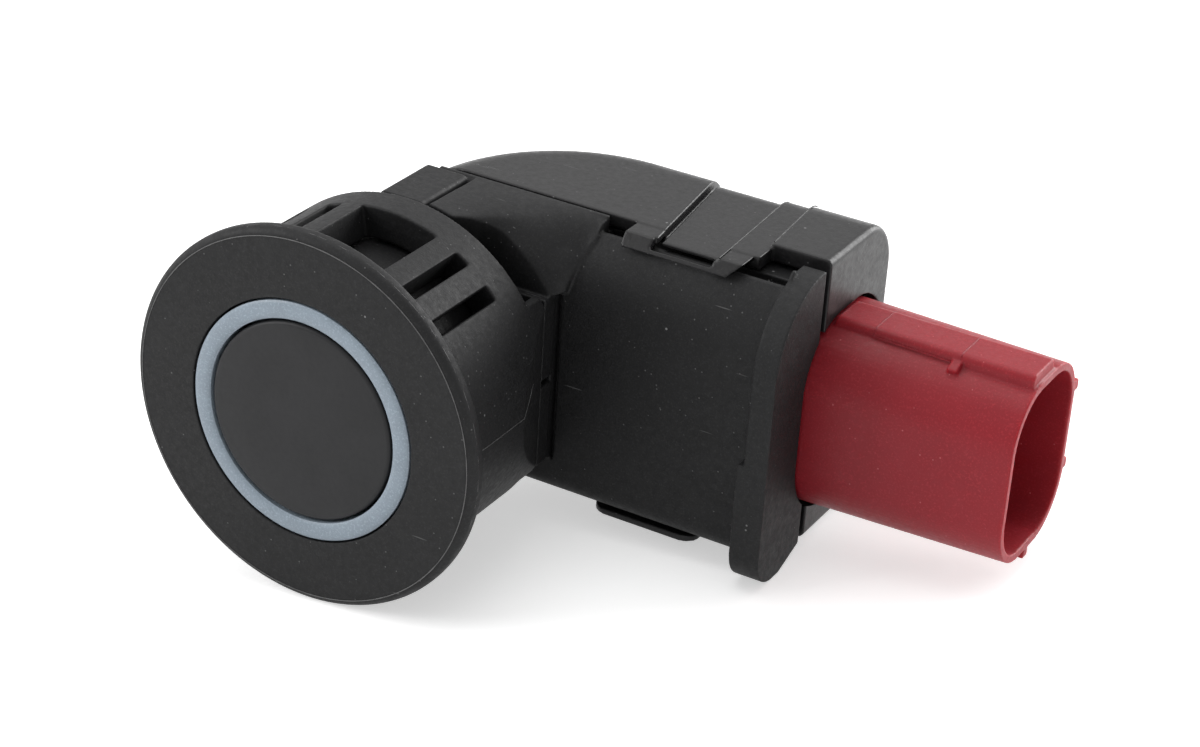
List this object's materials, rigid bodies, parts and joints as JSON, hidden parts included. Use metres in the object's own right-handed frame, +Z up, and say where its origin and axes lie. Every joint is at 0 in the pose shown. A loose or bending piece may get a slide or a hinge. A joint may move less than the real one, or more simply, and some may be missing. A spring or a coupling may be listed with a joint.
{
  "type": "parking sensor",
  "caption": "Angled ultrasonic sensor for a bumper: round face with a rubber-ringed membrane, slotted snap sleeve, box body with latched rear cover and a side connector",
  "frame": {"origin": "Middle of the overall size in X and Y, at the height of the lowest point, which is the bottom of the face flange.", "axes": "+X points out of the connector socket, -Y is the way the sensing face looks, +Z is up across the face; the longest size is along X and the shortest along Z."},
  "size_m": [0.0576, 0.0317, 0.028],
  "materials": {
    "black_plastic": "black moulded plastic, fine satin",
    "cover_plastic": "black moulded plastic, smoother satin",
    "silicone": "grey-blue silicone rubber, satin",
    "membrane_paint": "matte black paint on aluminium",
    "red_plastic": "dark red moulded plastic, satin",
    "ceramic": "fired ceramic, matte",
    "foam": "dark absorbing foam",
    "tin": "tin-plated metal",
    "board": "green coated laminate",
    "ferrite": "dark sintered ferrite",
    "copper": "enamelled copper wire",
    "chip_resin": "black moulding resin",
    "aluminium": "plain aluminium can"
  },
  "bodies": {
    "root": {"bezel": "black_plastic", "housing": "black_plastic", "retaining_ring": "black_plastic", "rear_cover": "cover_plastic", "decoupling_ring": "silicone", "cup_plug": "silicone", "transducer_cup": "membrane_paint", "connector_shroud": "red_plastic", "piezo_disc": "ceramic", "absorber_pad": "foam", "transducer_lead_upper": "tin", "transducer_lead_lower": "tin", "terminal_upper": "tin", "terminal_middle": "tin", "terminal_lower": "tin", "circuit_board": "board", "transformer_core": "ferrite", "transformer_winding": "copper", "control_chip": "chip_resin", "tall_capacitor": "aluminium", "chip_capacitor_1": "ceramic", "chip_capacitor_2": "ceramic", "chip_resistor_1": "chip_resin", "chip_resistor_2": "chip_resin", "chip_resistor_3": "chip_resin"}
  },
  "joints": []
}
